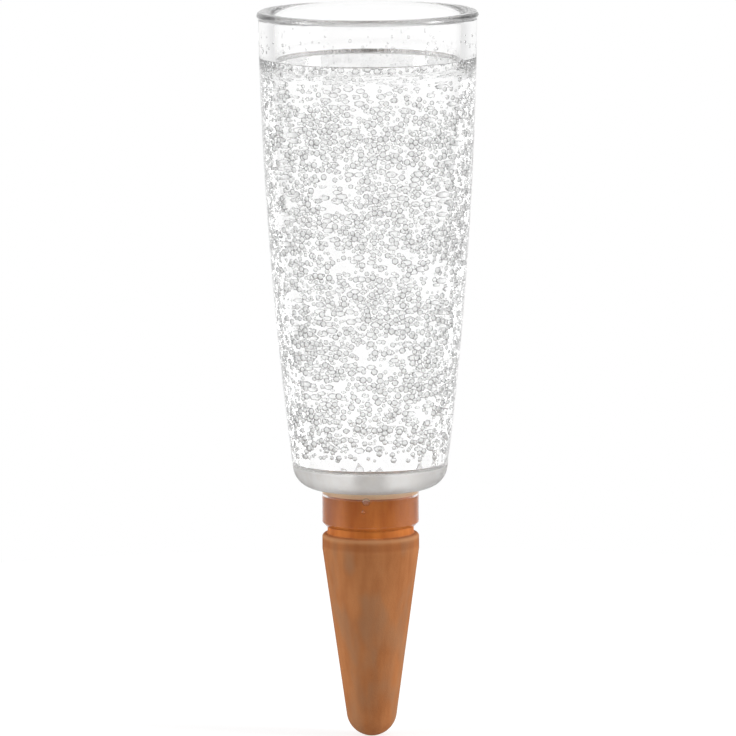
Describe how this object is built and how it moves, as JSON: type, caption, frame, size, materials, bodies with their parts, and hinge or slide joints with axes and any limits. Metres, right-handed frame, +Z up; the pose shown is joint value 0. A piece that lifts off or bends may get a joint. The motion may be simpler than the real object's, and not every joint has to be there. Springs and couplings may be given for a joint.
{
  "type": "self watering spike",
  "caption": "Clear tapered reservoir cup with a rounded lip, standing on a hollow porous clay cone that is pushed into potting soil and lets water seep out; the cup lifts off the cone's neck.",
  "frame": {"origin": "on the axis of the spike, level with the shoulder of the clay cone, where the soil comes to in use", "axes": "+Z up along the axis of the spike, from the cone's tip towards the cup's rim; X and Y are free, because the object is round"},
  "size_m": [0.0726, 0.0726, 0.2405],
  "materials": {
    "clay": "unglazed fired clay, matte and porous",
    "clear_cup": "clear moulded acrylic, polished, with small air bubbles in the wall",
    "clear_socket": "clear moulded acrylic, polished",
    "soft_seal": "soft translucent silicone, satin"
  },
  "bodies": {
    "spike": {"clay_cone": "clay"},
    "reservoir": {"reservoir_cup": "clear_cup", "cone_socket": "clear_socket", "seal_ring": "soft_seal"}
  },
  "joints": [
    {"name": "cup_lift", "type": "slide", "parent": "spike", "child": "reservoir", "axis": [0, 0, 1], "range_m": [0, 0.03]}
  ]
}
